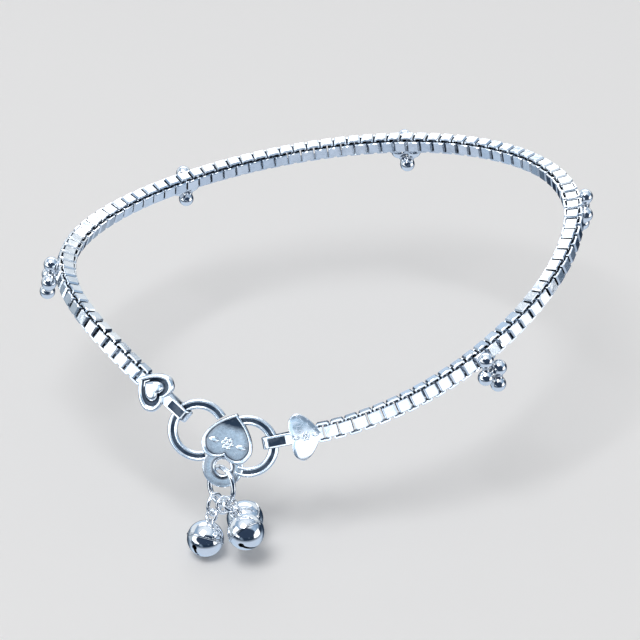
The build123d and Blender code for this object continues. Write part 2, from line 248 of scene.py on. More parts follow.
def spline_height(turn):
    """Height of the loop at a share of the whole turn, on a smooth closed spline."""
    count = len(loop_heights)
    step = turn * count
    first = math.floor(step)
    u = step - first
    weights = (
        (1 - u) ** 3,
        3 * u ** 3 - 6 * u ** 2 + 4,
        -3 * u ** 3 + 3 * u ** 2 + 3 * u + 1,
        u ** 3,
    )
    return sum(w * loop_heights[(first - 1 + k) % count] for k, w in enumerate(weights)) / 6


def loop_point(angle):
    """Point of the loop at an angle of the plan ellipse, in degrees."""
    a = math.radians(angle)
    return Vector((
        loop_half_length * math.cos(a),
        loop_half_width * math.sin(a),
        spline_height(angle / 360.0),
    ))


def measure_loop():
    """Length along the loop at each small step of angle, from the clasp's middle."""
    lengths = [0.0]
    before = loop_point(clasp_angle)
    for step in range(1, arc_steps + 1):
        point = loop_point(clasp_angle + 360.0 * step / arc_steps)
        lengths.append(lengths[-1] + (point - before).length)
        before = point
    return lengths


loop_lengths = measure_loop()
loop_length = loop_lengths[-1]


def angle_at(arc):
    """Angle of the plan ellipse at a length along the loop from the clasp."""
    arc = arc % loop_length
    low, high = 0, arc_steps
    while high - low > 1:
        middle = (low + high) // 2
        if loop_lengths[middle] <= arc:
            low = middle
        else:
            high = middle
    share = (arc - loop_lengths[low]) / (loop_lengths[high] - loop_lengths[low])
    return clasp_angle + 360.0 * (low + share) / arc_steps


def loop_place(arc):
    """Place on the loop: X runs along the chain, Y up its face and Z out of it."""
    angle = angle_at(arc)
    step = 360.0 / arc_steps
    along = (loop_point(angle + step) - loop_point(angle - step)).normalized()
    lean = face_lean_mean + face_lean_swing * math.cos(math.radians(angle - clasp_angle))
    outward = along.cross(UPWARD).normalized()
    lean = math.radians(lean)
    facing = outward * math.cos(lean) + outward.cross(along) * math.sin(lean)
    return placed(loop_point(angle), along, facing)


def axis(place, number):
    """One of a place's own directions: 0 is X, 1 is Y and 2 is Z."""
    return place.to_3x3().col[number].copy()


def clasp_place():
    """Place of the hook: X from its open ring to its closed one, Z out of its face."""
    on_loop = loop_place(0)
    along = axis(on_loop, 0)
    outward = along.cross(UPWARD).normalized()
    middle = on_loop.translation + outward * clasp_out - UPWARD * clasp_sag
    return placed(middle, along, axis(on_loop, 2))


def held_point(name, target):
    """Middle of the ring's band where the strap of one end pulls towards a target."""
    hook = clasp_place()
    along, upward = axis(hook, 0), axis(hook, 1)
    side = 1 if name == "right" else -1
    middle = hook.translation + along * (hook_ring_offset * side)
    pull = target - middle
    angle = math.atan2(pull.dot(upward), pull.dot(along))
    angle += math.radians(end_sizes[name]["slid"])
    return middle + (along * math.cos(angle) + upward * math.sin(angle)) * band_radius


def stub_middle(name):
    """Middle of the fixed end link, which reaches a little past the tip of its heart."""
    size = end_sizes[name]
    return size["lobes_at"] + size["length"] + stub_reach - link_length / 2


def chain_end_arc(name):
    """Length along the loop at which the first loose link of one end lies."""
    side = 1 if name == "right" else -1
    reach = stub_middle(name) + link_pitch - fold_to_band
    near, far = hook_ring_outer, 4 * reach
    while far - near > arc_closeness:
        arc = (near + far) / 2
        target = loop_place(side * arc).translation
        if (target - held_point(name, target)).length < reach:
            near = arc
        else:
            far = arc
    return side * near


def link_arcs():
    """Lengths along the loop of every loose link, from the right end to the left."""
    start = chain_end_arc("right")
    run = loop_length + chain_end_arc("left") - start
    count = 2 * round(run / link_pitch / 2)
    return [start + run * k / count for k in range(count + 1)]


def cluster_links(arcs):
    """Numbers of the links that carry the clusters: face links, which are odd."""
    last = loop_length - cluster_first
    face_links = range(1, len(arcs) - 1, 2)
    chosen = []
    for k in range(cluster_count):
        wanted = cluster_first + (last - cluster_first) * k / (cluster_count - 1)
        chosen.append(min(face_links, key=lambda number: abs(arcs[number] - wanted)))
    return chosen


def end_place(name):
    """Place of one end: X from the strap's fold towards its first loose link."""
    target = loop_place(chain_end_arc(name))
    held = held_point(name, target.translation)
    away = (target.translation - held).normalized()
    facing = axis(clasp_place(), 2) + axis(target, 2) * facing_pull
    facing = (facing - away * facing.dot(away)).normalized()
    return placed(held - away * fold_to_band, away, facing)


def bunch_axes():
    """Eye of the hook, and the directions right, down and forward of the hanging bells."""
    hook = clasp_place()
    eye = hook @ Vector((eye_across, -eye_down, 0))
    outward = axis(hook, 0).cross(UPWARD).normalized()
    lean = math.radians(hang_lean)
    right = Vector((-outward.y, outward.x, 0))
    down = Vector((0, 0, -math.cos(lean))) + outward * math.sin(lean)
    forward = outward * math.cos(lean) + Vector((0, 0, math.sin(lean)))
    return eye, right, down, forward


def hanger_place():
    """Place of the big ring: X is its own sideways direction, Y is up."""
    eye, right, down, forward = bunch_axes()
    turn = math.radians(hanger_turn)
    sideways = forward * math.cos(turn) + right * math.sin(turn)
    middle = eye + down * (hanger_seat + hanger_radius)
    return placed(middle, sideways, sideways.cross(down * -1))


def bell_places(ring_angle, right_by, down_by, forward_by):
    """Places of a bell's link and of the bell, with the link's radius."""
    eye, right, down, forward = bunch_axes()
    middle = eye + right * right_by + down * down_by + forward * forward_by
    ring = hanger_place()
    sideways = axis(ring, 0)
    a = math.radians(ring_angle)
    seat = ring.translation + (down * math.cos(a) + sideways * math.sin(a)) * hanger_radius
    wire_way = sideways * math.cos(a) - down * math.sin(a)
    away = (middle - seat).normalized()
    slant = math.sqrt(1 - wire_way.dot(away) ** 2)
    upper = (hanger_wire + bell_link_wire + ring_play) / slant
    lower = bell_link_wire + bell_loop_wire + ring_play
    reach = (middle - seat).length - bell_drop - bell_loop_radius
    radius = (reach + upper + lower) / 2
    normal = (wire_way - away * wire_way.dot(away)).normalized()
    link = placed(seat + away * (radius - upper), away, normal)
    return link, placed(middle, normal, away * -1), radius


# ================================================================ metalwork in mesh
def add_object(name, data):
    """Object of some data, in the scene."""
    made = bpy.data.objects.new(name, data)
    bpy.context.scene.collection.objects.link(made)
    return made


def evaluated_mesh(thing):
    """Plain mesh of an object with its modifiers carried out."""
    seen = thing.evaluated_get(bpy.context.evaluated_depsgraph_get())
    return bpy.data.meshes.new_from_object(seen)


def discard(thing):
    """Remove an object that was only a help, with its mesh."""
    mesh = thing.data
    bpy.data.objects.remove(thing)
    bpy.data.meshes.remove(mesh)


def start_work():
    """Empty mesh with a share of tarnish at each of its points."""
    work = bmesh.new()
    work.verts.layers.float.new("recess")
    return work


def close_up(work):
    """Merge points that lie on each other, and turn the faces outwards."""
    bmesh.ops.remove_doubles(work, verts=work.verts, dist=MERGE)
    bmesh.ops.recalc_face_normals(work, faces=work.faces)


def end_work(work, name):
    """Mesh of a piece of work, which ends with it."""
    mesh = bpy.data.meshes.new(name)
    work.to_mesh(mesh)
    work.free()
    return mesh


def take_mesh(work, mesh):
    """Add a mesh to a piece of work, and remove it."""
    work.from_mesh(mesh)
    bpy.data.meshes.remove(mesh)


def turns(count):
    """Even angles round a full turn."""
    return [2 * math.pi * k / count for k in range(count)]


def on_circle(angle, radius, height=0.0):
    """Point of a circle about Z."""
    return Vector((radius * math.cos(angle), radius * math.sin(angle), height))


def add_skin(work, rings, shades=None, across=None, joined=False, capped=False):
    """Skin over rings of equally many points.  Its tarnish and painted shade are none, or a
    share for each ring, or a share for each point across them."""
    layer = work.verts.layers.float["recess"]
    grid = []
    for number, ring in enumerate(rings):
        line = [work.verts.new(point) for point in ring]
        for k, vert in enumerate(line):
            if shades:
                vert[layer] = shades[number]
            elif across:
                vert[layer] = across[k]
        grid.append(line)
    count = len(grid[0])
    for number in range(len(grid) if joined else len(grid) - 1):
        here, there = grid[number], grid[(number + 1) % len(grid)]
        for k in range(count):
            n = (k + 1) % count
            work.faces.new((here[k], here[n], there[n], there[k]))
    if capped:
        work.faces.new(grid[0])
        work.faces.new(grid[-1])


def lathe(work, profile, place=NO_MOVE, steps=32, shades=None, joined=False):
    """Turned shape: each point of the profile is a radius and a height along Z."""
    rings = [[place @ on_circle(a, radius, height) for a in turns(steps)]
             for radius, height in profile]
    add_skin(work, rings, shades, joined=joined)


def shaded_lathe(work, profile, place, steps, joined=False):
    """Turned shape whose profile has a share of tarnish and painted shade at each of its
    points too.
    """
    line = [(radius, height) for radius, height, _ in profile]
    lathe(work, line, place, steps, [shade for _, _, shade in profile], joined)


def ball_profile(radius, rows):
    """Profile of a ball, from pole to pole."""
    angles = [math.pi * k / rows for k in range(rows + 1)]
    return [(radius * math.sin(a), radius * math.cos(a)) for a in angles]


def aimed(start, end):
    """Place at a point, with Z towards another."""
    away = (end - start).normalized()
    return Matrix.Translation(start) @ away.to_track_quat("Z", "Y").to_matrix().to_4x4()


def add_solder(work, first, second):
    """Waisted run of solder between two balls, tangent to both."""
    half = (second - first).length / 2
    waist = math.sqrt((ball_radius + solder_hollow) ** 2 - half ** 2)
    side = math.atan2(half, waist)
    at_ball, at_waist = solder_tarnish_and_shade
    steps = 8
    profile = [(0.0, -half, at_ball)]
    for k in range(steps + 1):
        a = -side + 2 * side * k / steps
        shade = at_ball + (at_waist - at_ball) * math.sin(math.pi * k / steps)
        radius = waist - solder_hollow * math.cos(a)
        profile.append((radius, solder_hollow * math.sin(a), shade))
    profile.append((0.0, half, at_ball))
    shaded_lathe(work, profile, aimed((first + second) / 2, second), 24)


def add_wire_ring(work, place, radius, wire, steps, cut=0.0):
    """Ring bent from round wire, in its own XY plane.  A cut, as wide as that in degrees,
    leaves its butted ends, painted darker with tarnish and painted shade."""
    rings, shades = [], []
    opening = math.radians(cut) / 2
    for k in range(steps + (1 if cut else 0)):
        a = opening + (2 * math.pi - 2 * opening) * k / steps
        rings.append([place @ on_circle(a, radius + wire * math.cos(t), wire * math.sin(t))
                      for t in turns(14)])
        shades.append(cut_tarnish_and_shade if cut and k in (0, steps) else 0.0)
    add_skin(work, rings, shades, joined=not cut, capped=bool(cut))


def add_block(work, low, high, edge):
    """Block with rounded edges between two corners."""
    made = bmesh.ops.create_cube(work, size=1.0)["verts"]
    low, high = Vector(low), Vector(high)
    for vert in made:
        vert.co = (low + high) / 2 + vert.co * (high - low)
    edges = list({e for v in made for e in v.link_edges})
    bmesh.ops.bevel(work, geom=edges, offset=edge, segments=2, affect="EDGES", profile=0.5)


def through(points, steps):
    """Smooth line through points, with a few steps from each to the next."""
    points = [Vector(p) for p in points]
    ends = [2 * points[0] - points[1]] + points + [2 * points[-1] - points[-2]]
    line = []
    for k in range(1, len(ends) - 2):
        a, b, c, d = ends[k - 1:k + 3]
        for n in range(steps):
            t = n / steps
            line.append(0.5 * (2 * b + (c - a) * t + (2 * a - 5 * b + 4 * c - d) * t ** 2
                               + (3 * b - a - 3 * c + d) * t ** 3))
    return line + [points[-1]]


heart_line = through(heart_half, 4)
heart_line += [Vector((-p.x, p.y)) for p in reversed(heart_line[1:-1])]


def add_heart(work, width, length, place, levels):
    """Heart with its tip up, skinned over levels: share of its outline, height, and tarnish
    with painted shade.
    """
    rings = [[place @ Vector((p.x * width * share, p.y * length * share, height))
              for p in heart_line] for share, height, _ in levels]
    add_skin(work, rings, [shade for _, _, shade in levels])


def rounded_border(share_from, share_to, height, top):
    """Levels of a heart over its round border, between two shares of its outline."""
    steps = 6
    levels = []
    for k in range(steps + 1):
        a = math.pi * k / steps
        share = (share_from + share_to) / 2 + (share_from - share_to) / 2 * math.cos(a)
        levels.append((share, height + (top - height) * math.sin(a), 0.0))
    return levels


def add_dome(work, outline, height, place):
    """Low pillow over an outline, sunk a little into the face that it stands on."""
    middle = sum(outline, Vector((0, 0))) / len(outline)
    rings = [[place @ Vector((*(middle + (p - middle) * share), height * rise))
              for p in outline] for share, rise, _ in dome_levels]
    add_skin(work, rings, [shade for _, _, shade in dome_levels])


def add_relief(work, place, scale):
    """Small raised flower between two leaves."""
    def disc(radius, middle):
        return [middle + on_circle(a, radius).to_2d() for a in turns(14)]

    add_dome(work, disc(flower_eye_radius * scale, Vector((0, 0))), relief_height, place)
    for a in turns(petal_count):
        middle = on_circle(a, petal_spread * scale).to_2d()
        add_dome(work, disc(petal_radius * scale, middle), petal_height, place)
    for side in (1, -1):
        blade = []
        for t in [k / 8 for k in range(9)]:
            half = math.sin(math.pi * t) ** leaf_fullness / 2 * leaf_width
            blade.append(Vector((side * (leaf_start + t * leaf_length), half)) * scale)
        blade += [Vector((p.x, -p.y)) for p in reversed(blade[1:-1])]
        add_dome(work, blade, relief_height, place)


def cut_plate(work, outlines, thickness, edge, place):
    """Plate cut from sheet along outlines, the first its rim and the others its holes."""
    sheet = bpy.data.curves.new("sheet", "CURVE")
    sheet.dimensions = "2D"
    sheet.fill_mode = "BOTH"
    sheet.extrude = thickness / 2 - edge
    sheet.bevel_depth = edge
    sheet.offset = -edge
    sheet.bevel_resolution = 1
    for outline in outlines:
        spline = sheet.splines.new("POLY")
        spline.points.add(len(outline) - 1)
        for point, (x, y) in zip(spline.points, outline):
            point.co = (x, y, 0, 1)
        spline.use_cyclic_u = True
    holder = bpy.data.objects.new("sheet", sheet)
    plate = bpy.data.meshes.new_from_object(holder)
    plate.transform(place)
    take_mesh(work, plate)
    bpy.data.objects.remove(holder)
    bpy.data.curves.remove(sheet)


def finish_piece(work, name, place, slot, node, sharp=40.0):
    """Closed, outward-facing piece in its place on the anklet.  Edges stay sharp from the
    angle that sharp gives, in degrees."""
    close_up(work)
    work.transform(Matrix.Scale(MM, 4) @ place)
    dress(end_work(work, name), name, slot, node, sharp)


def dress(mesh, name, slot, node, sharp=40.0):
    """Piece of a finished mesh, with the finish of its slot, standing for its CAD node."""
    mesh.shade_smooth()
    mesh.set_sharp_from_angle(angle=math.radians(sharp))
    mesh.materials.clear()
    mesh.materials.append(finishes[slot])
    piece = add_object(name, mesh)
    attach(piece, BODY)
    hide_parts(node)


# ================================================================ node trees
def wire_up(tree, links):
    """Links of a node tree, each from an output to an input."""
    for source, target in links:
        tree.links.new(source, target)


def feed(tree, socket, value):
    """Give an input another node's output, or a number or colour of its own."""
    if isinstance(value, bpy.types.NodeSocket):
        tree.links.new(value, socket)
    else:
        socket.default_value = value


def make_inputs(tree, sockets):
    """Named inputs of a tree: name, socket type and value."""
    for name, kind, value in sockets:
        socket = tree.interface.new_socket(name, in_out="INPUT", socket_type=kind)
        if value is not None:
            socket.default_value = value


def live(sockets, name):
    """The socket of that name that a node has in use."""
    return next(s for s in sockets if s.name == name and s.enabled)


def maths(tree, operation, *values):
    """Math node of a tree, fed by sockets or numbers; gives its output."""
    node = tree.nodes.new("ShaderNodeMath")
    node.operation = operation
    for socket, value in zip(node.inputs, values):
        feed(tree, socket, value)
    return node.outputs[0]


def spread(tree, value, low, high, to_low=0.0, to_high=1.0):
    """Value remapped from one range to another and held there."""
    node = tree.nodes.new("ShaderNodeMapRange")
    for name, given in (("Value", value), ("From Min", low), ("From Max", high),
                        ("To Min", to_low), ("To Max", to_high)):
        feed(tree, live(node.inputs, name), given)
    return live(node.outputs, "Result")


def noise(tree, where, scale, detail, rough=0.55):
    """Noise texture of a tree, as its plain value."""
    node = tree.nodes.new("ShaderNodeTexNoise")
    for name, value in (("Vector", where), ("Scale", scale), ("Detail", detail),
                        ("Roughness", rough)):
        feed(tree, node.inputs[name], value)
    return node.outputs[0]


def mixed(tree, share, first, second):
    """Colour between two, by a share."""
    node = tree.nodes.new("ShaderNodeMix")
    node.data_type = "RGBA"
    for name, value in (("Factor", share), ("A", first), ("B", second)):
        feed(tree, live(node.inputs, name), value)
    return live(node.outputs, "Result")


# ================================================================ box links
def rounded_rectangle(tree, width, height, radius):
    """Rectangle with a flat bevel at each corner."""
    line = tree.nodes.new("GeometryNodeCurvePrimitiveQuadrilateral")
    corner = tree.nodes.new("GeometryNodeFilletCurve")
    corner.mode = "POLY"
    corner.inputs["Count"].default_value = 1
    wire_up(tree, (
        (width, live(line.inputs, "Width")),
        (height, live(line.inputs, "Height")),
        (line.outputs[0], corner.inputs["Curve"]),
        (radius, corner.inputs["Radius"]),
    ))
    return corner.outputs[0]


def bent_strip(tree, given):
    """Strip bent round into one link."""
    path = rounded_rectangle(
        tree,
        maths(tree, "SUBTRACT", given["Link Length"], given["Wall"]),
        maths(tree, "SUBTRACT", given["Chain Width"], given["Wall"]),
        given["Bend"],
    )
    strip = rounded_rectangle(tree, given["Wall"], given["Strip Width"], given["Edge"])
    bend = tree.nodes.new("GeometryNodeCurveToMesh")
    wire_up(tree, ((path, bend.inputs["Curve"]), (strip, bend.inputs["Profile Curve"])))
    return bend.outputs[0]


def inside_link(tree, given):
    """Painted shade and tarnish: full on the inside of a link, and none on its outside and its
    edges.
    """
    position = tree.nodes.new("GeometryNodeInputPosition")
    split = tree.nodes.new("ShaderNodeSeparateXYZ")
    tree.links.new(position.outputs[0], split.inputs[0])

    def share_out(number, size):
        half = maths(tree, "MULTIPLY", given[size], 0.5)
        return maths(tree, "DIVIDE", maths(tree, "ABSOLUTE", split.outputs[number]), half)

    along, across = share_out(0, "Link Length"), share_out(1, "Chain Width")
    depth = spread(tree, maths(tree, "MAXIMUM", along, across), 0.9, 0.8)
    flat = maths(tree, "SUBTRACT", given["Strip Width"], given["Edge"])
    flat = maths(tree, "MULTIPLY", flat, 0.5)
    on_wall = maths(tree, "LESS_THAN", maths(tree, "ABSOLUTE", split.outputs[2]), flat)
    return maths(tree, "MULTIPLY", depth, on_wall)


def stored(tree, shape, domain, name, value):
    """Shape with a number stored at each of its points or instances."""
    node = tree.nodes.new("GeometryNodeStoreNamedAttribute")
    node.data_type, node.domain = "FLOAT", domain
    node.inputs["Name"].default_value = name
    wire_up(tree, ((shape, node.inputs["Geometry"]), (value, live(node.inputs, "Value"))))
    return node.outputs[0]


def chance(tree, kind, **sockets):
    """Random value for each link."""
    node = tree.nodes.new("FunctionNodeRandomValue")
    node.data_type = kind
    wire_up(tree, [(value, live(node.inputs, name)) for name, value in sockets.items()])
    return live(node.outputs, "Value")


def link_turn(tree, given):
    """Turn of each link's place, with a little lean of its own on its neighbours."""
    turn = tree.nodes.new("GeometryNodeInputNamedAttribute")
    turn.data_type = "QUATERNION"
    turn.inputs["Name"].default_value = "turn"
    lean = tree.nodes.new("FunctionNodeEulerToRotation")
    least = maths(tree, "MULTIPLY", given["Wobble"], -1.0)
    lay = tree.nodes.new("FunctionNodeRotateRotation")
    lay.rotation_space = "LOCAL"
    wire_up(tree, (
        (chance(tree, "FLOAT_VECTOR", Min=least, Max=given["Wobble"], Seed=given["Seed"]),
         lean.inputs[0]),
        (live(turn.outputs, "Attribute"), lay.inputs[0]),
        (lean.outputs[0], lay.inputs[1]),
    ))
    return lay.outputs[0]


def box_link_tree():
    """Geometry nodes that bend a strip into a link and set one at every place."""
    tree = bpy.data.node_groups.new("box_links", "GeometryNodeTree")
    make_inputs(tree, (
        ("Places", "NodeSocketGeometry", None),
        ("Link Length", "NodeSocketFloat", link_length),
        ("Chain Width", "NodeSocketFloat", chain_width),
        ("Wall", "NodeSocketFloat", link_wall),
        ("Strip Width", "NodeSocketFloat", strip_width),
        ("Bend", "NodeSocketFloat", link_bend),
        ("Edge", "NodeSocketFloat", link_edge),
        ("Wobble", "NodeSocketFloat", 0.0),
        ("Seed", "NodeSocketInt", 7),
        ("Silver", "NodeSocketMaterial", None),
    ))
    tree.interface.new_socket("Links", in_out="OUTPUT", socket_type="NodeSocketGeometry")
    given = tree.nodes.new("NodeGroupInput").outputs
    result = tree.nodes.new("NodeGroupOutput").inputs
    link = stored(tree, bent_strip(tree, given), "POINT", "recess", inside_link(tree, given))
    setting = tree.nodes.new("GeometryNodeInstanceOnPoints")
    wire_up(tree, (
        (given["Places"], setting.inputs["Points"]),
        (link, setting.inputs["Instance"]),
        (link_turn(tree, given), setting.inputs["Rotation"]),
    ))
    tone = chance(tree, "FLOAT", Seed=given["Seed"])
    toned = stored(tree, setting.outputs[0], "INSTANCE", "tone", tone)
    real = tree.nodes.new("GeometryNodeRealizeInstances")
    silvered = tree.nodes.new("GeometryNodeSetMaterial")
    wire_up(tree, (
        (toned, real.inputs[0]),
        (real.outputs[0], silvered.inputs["Geometry"]),
        (given["Silver"], silvered.inputs["Material"]),
        (silvered.outputs[0], result["Links"]),
    ))
    return tree


link_tree = box_link_tree()


def link_mesh(places, slot, wobble=0.0):
    """Mesh of a link at each place, in millimetres; X of a place runs along the chain."""
    points = bpy.data.meshes.new("places")
    points.from_pydata([place.translation for place in places], [], [])
    turn = points.attributes.new("turn", "QUATERNION", "POINT")
    for spot, place in zip(turn.data, places):
        spot.value = place.to_quaternion()
    holder = add_object("places", points)
    nodes = holder.modifiers.new("links", "NODES")
    nodes.node_group = link_tree
    values = {"Wobble": math.radians(wobble), "Silver": finishes[slot]}
    for item in link_tree.interface.items_tree:
        if item.name in values:
            nodes[item.identifier] = values[item.name]
    made = evaluated_mesh(holder)
    holder.modifiers.clear()
    discard(holder)
    return made


quarter_turn = Matrix.Rotation(math.pi / 2, 4, "X")


def add_face_link(work, place, slot):
    """One face link of the chain, as part of another piece."""
    take_mesh(work, link_mesh([place @ quarter_turn], slot))


# ================================================================ finishes
def shader_group(name, inputs, outputs):
    """Shader group, the values that it is given and its result, by name."""
    group = bpy.data.node_groups.new(name, "ShaderNodeTree")
    make_inputs(group, inputs)
    for label, kind in outputs:
        group.interface.new_socket(label, in_out="OUTPUT", socket_type=kind)
    given = group.nodes.new("NodeGroupInput").outputs
    result = group.nodes.new("NodeGroupOutput").inputs
    return group, given, result


def group_node(tree, group, values):
    """Shader group placed in a tree with its own values."""
    node = tree.nodes.new("ShaderNodeGroup")
    node.node_tree = group
    for name, value in values.items():
        feed(tree, node.inputs[name], value)
    return node


def piece_coordinates(tree):
    """Object coordinates, in metres."""
    return tree.nodes.new("ShaderNodeTexCoord").outputs["Object"]


def attribute(tree, name):
    """Number that the mesh keeps under a name."""
    node = tree.nodes.new("ShaderNodeAttribute")
    node.attribute_name = name
    return node.outputs["Fac"]


def tarnish_and_shade_group():
    """Silver that darkens to grey-blue in hollows, with ragged edges, as tarnish and painted
    shade, and dulls in soft clouds of tarnish.
    """
    group, given, result = shader_group("tarnish_and_shade", (
        ("Clean", "NodeSocketColor", (0.9, 0.93, 0.96, 1)),
        ("Tarnished And Shaded", "NodeSocketColor", (0.25, 0.3, 0.36, 1)),
        ("Hollow Share", "NodeSocketFloat", 0.8),
        ("Cloud Share", "NodeSocketFloat", 0.15),
        ("Cloud Scale", "NodeSocketFloat", 500.0),
    ), (("Colour", "NodeSocketColor"), ("Mask", "NodeSocketFloat")))
    where = piece_coordinates(group)
    cloud = spread(group, noise(group, where, given["Cloud Scale"], 4.0), 0.42, 0.7)
    ragged = spread(group, noise(group, where, 2600.0, 3.0), 0.3, 0.7, -0.06, 0.06)
    deep = maths(group, "ADD", attribute(group, "recess"), ragged)
    deep = spread(group, deep, 0.08, 0.85, 0.0, given["Hollow Share"])
    mask = maths(group, "ADD", deep, maths(group, "MULTIPLY", cloud, given["Cloud Share"]))
    mask = maths(group, "MINIMUM", maths(group, "MAXIMUM", mask, 0.0), 1.0)
    wire_up(group, ((mask, result["Mask"]),
                    (mixed(group, mask, given["Clean"], given["Tarnished And Shaded"]), result["Colour"])))
    return group


def polish_group():
    """Fine scratches and the slight ripple that hand polishing leaves."""
    group, given, result = shader_group("hand_polish", (
        ("Smooth", "NodeSocketFloat", 0.12),
        ("Rough", "NodeSocketFloat", 0.3),
        ("Mask", "NodeSocketFloat", 0.0),
        ("Scratch Scale", "NodeSocketFloat", 1500.0),
        ("Scratch Depth", "NodeSocketFloat", 0.3),
        ("Ripple Scale", "NodeSocketFloat", 450.0),
        ("Ripple Depth", "NodeSocketFloat", 1.0),
    ), (("Roughness", "NodeSocketFloat"), ("Height", "NodeSocketFloat")))
    where = piece_coordinates(group)
    strokes = []
    for turn, stretch in (((0.4, 0.2, 0.9), (1.0, 0.06, 1.0)),
                          ((1.1, 0.7, -0.5), (0.06, 1.0, 1.0))):
        mapping = group.nodes.new("ShaderNodeMapping")
        mapping.inputs["Rotation"].default_value = turn
        mapping.inputs["Scale"].default_value = stretch
        group.links.new(where, mapping.inputs["Vector"])
        fine = noise(group, mapping.outputs[0], given["Scratch Scale"], 3.0, 0.7)
        strokes.append(spread(group, fine, 0.56, 0.72))
    scratch = maths(group, "MAXIMUM", *strokes)
    worn = maths(group, "ADD", maths(group, "MULTIPLY", scratch, 0.5),
                 noise(group, where, 900.0, 3.0))
    worn = maths(group, "MAXIMUM", spread(group, worn, 0.4, 1.0), given["Mask"])
    ripple = maths(group, "MULTIPLY", noise(group, where, given["Ripple Scale"], 2.0),
                   given["Ripple Depth"])
    cut = maths(group, "MULTIPLY", scratch, given["Scratch Depth"])
    wire_up(group, (
        (spread(group, worn, 0.0, 1.0, given["Smooth"], given["Rough"]), result["Roughness"]),
        (maths(group, "SUBTRACT", ripple, cut), result["Height"]),
    ))
    return group


def start_material(name):
    """Material, its node tree and its shader."""
    material = bpy.data.materials.new(name)
    material.use_nodes = True
    return material, material.node_tree, material.node_tree.nodes["Principled BSDF"]


bright_silver = (0.93, 0.95, 0.98, 1)
cool_silver = (0.88, 0.92, 0.97, 1)
# Near-black blue that hollows, insides and joins are painted towards: painted shade, and
# tarnish.
tarnished_and_shaded_silver = (0.03, 0.045, 0.07, 1)
grey_pellet = (0.5, 0.53, 0.57, 1)
polish_relief = 0.02         # height of a whole step of ripple or scratch
tarnish_and_shade = tarnish_and_shade_group()
hand_polish = polish_group()


def silver(name, smooth, rough, clean=bright_silver, hollow=0.85, cloud=0.12, ripple=1.0,
           ripple_scale=450.0, scratch=0.25, greyest=None):
    """Silver finish: tarnish and painted shade in its hollows, scratches and a polishing
    ripple.
    greyest is the colour of the greyest link, where every link differs a little."""
    material, tree, shader = start_material(name)
    shader.inputs["Metallic"].default_value = 1.0
    if greyest:
        clean = mixed(tree, attribute(tree, "tone"), clean, greyest)
    aged_and_shaded = group_node(tree, tarnish_and_shade, {
        "Clean": clean, "Tarnished And Shaded": tarnished_and_shaded_silver, "Hollow Share": hollow, "Cloud Share": cloud})
    surface = group_node(tree, hand_polish, {
        "Smooth": smooth, "Rough": rough, "Mask": aged_and_shaded.outputs["Mask"], "Ripple Depth": ripple,
        "Ripple Scale": ripple_scale, "Scratch Depth": scratch})
    relief = tree.nodes.new("ShaderNodeBump")
    relief.inputs["Strength"].default_value = 1.0
    relief.inputs["Distance"].default_value = polish_relief * MM
    wire_up(tree, (
        (aged_and_shaded.outputs["Colour"], shader.inputs["Base Color"]),
        (surface.outputs["Roughness"], shader.inputs["Roughness"]),
        (surface.outputs["Height"], relief.inputs["Height"]),
        (relief.outputs["Normal"], shader.inputs["Normal"]),
    ))
    return material


looks = {
    "chain_silver": dict(smooth=0.1, rough=0.34, ripple=1.6, ripple_scale=600.0,
                         greyest=(0.74, 0.8, 0.87, 1)),
    "ball_silver": dict(smooth=0.06, rough=0.22, cloud=0.06, ripple=0.6),
    "clasp_silver": dict(smooth=0.12, rough=0.36, clean=cool_silver, hollow=0.95,
                         scratch=0.12),
    "ring_silver": dict(smooth=0.08, rough=0.28, ripple=0.8),
    "bell_silver": dict(smooth=0.04, rough=0.18, cloud=0.05, ripple=0.5),
    "pellet_metal": dict(smooth=0.3, rough=0.6, clean=grey_pellet, cloud=0.6),
}
finishes = {slot: silver(slot, **look) for slot, look in looks.items()}


# ================================================================ chain and clusters
# Foot of solder between the top ball and its link: radius, height, tarnish and painted shade.
ball_foot = ((0, -0.15, 0.6), (0.95, -0.15, 0.8), (0.9, -0.02, 0.8), (0.74, 0.12, 0.6),
             (0.68, 0.35, 0.4), (0, 0.4, 0.4))


def make_chain(arcs, carriers):
    """Loose links, turned a quarter from one to the next."""
    places = [loop_place(arc) @ (quarter_turn if number % 2 else NO_MOVE)
              for number, arc in enumerate(arcs) if number not in carriers]
    links = link_mesh(places, "chain_silver", link_wobble)
    links.transform(Matrix.Scale(MM, 4))
    dress(links, "box_chain_links", "chain_silver", "box_chain")


def make_cluster(count, place):
    """Diamond of four balls, soldered to each other and to the link that carries them."""
    work = start_work()
    middles = {name: Vector(middle) for name, middle in cluster_balls.items()}
    for middle in middles.values():
        lathe(work, ball_profile(ball_radius, 18), Matrix.Translation(middle), 28)
    for first, second in solder_joints:
        add_solder(work, middles[first], middles[second])
    seat = Matrix.Translation(middles["top"] - UPWARD * seat_below)
    shaded_lathe(work, ball_foot, seat, 24)
    add_face_link(work, NO_MOVE, "ball_silver")
    finish_piece(work, f"ball_cluster_{count}", place, "ball_silver", f"bead_cluster_{count}")


arcs = link_arcs()
carriers = cluster_links(arcs)
make_chain(arcs, carriers)
for count, number in enumerate(carriers, start=1):
    make_cluster(count, loop_place(arcs[number]))


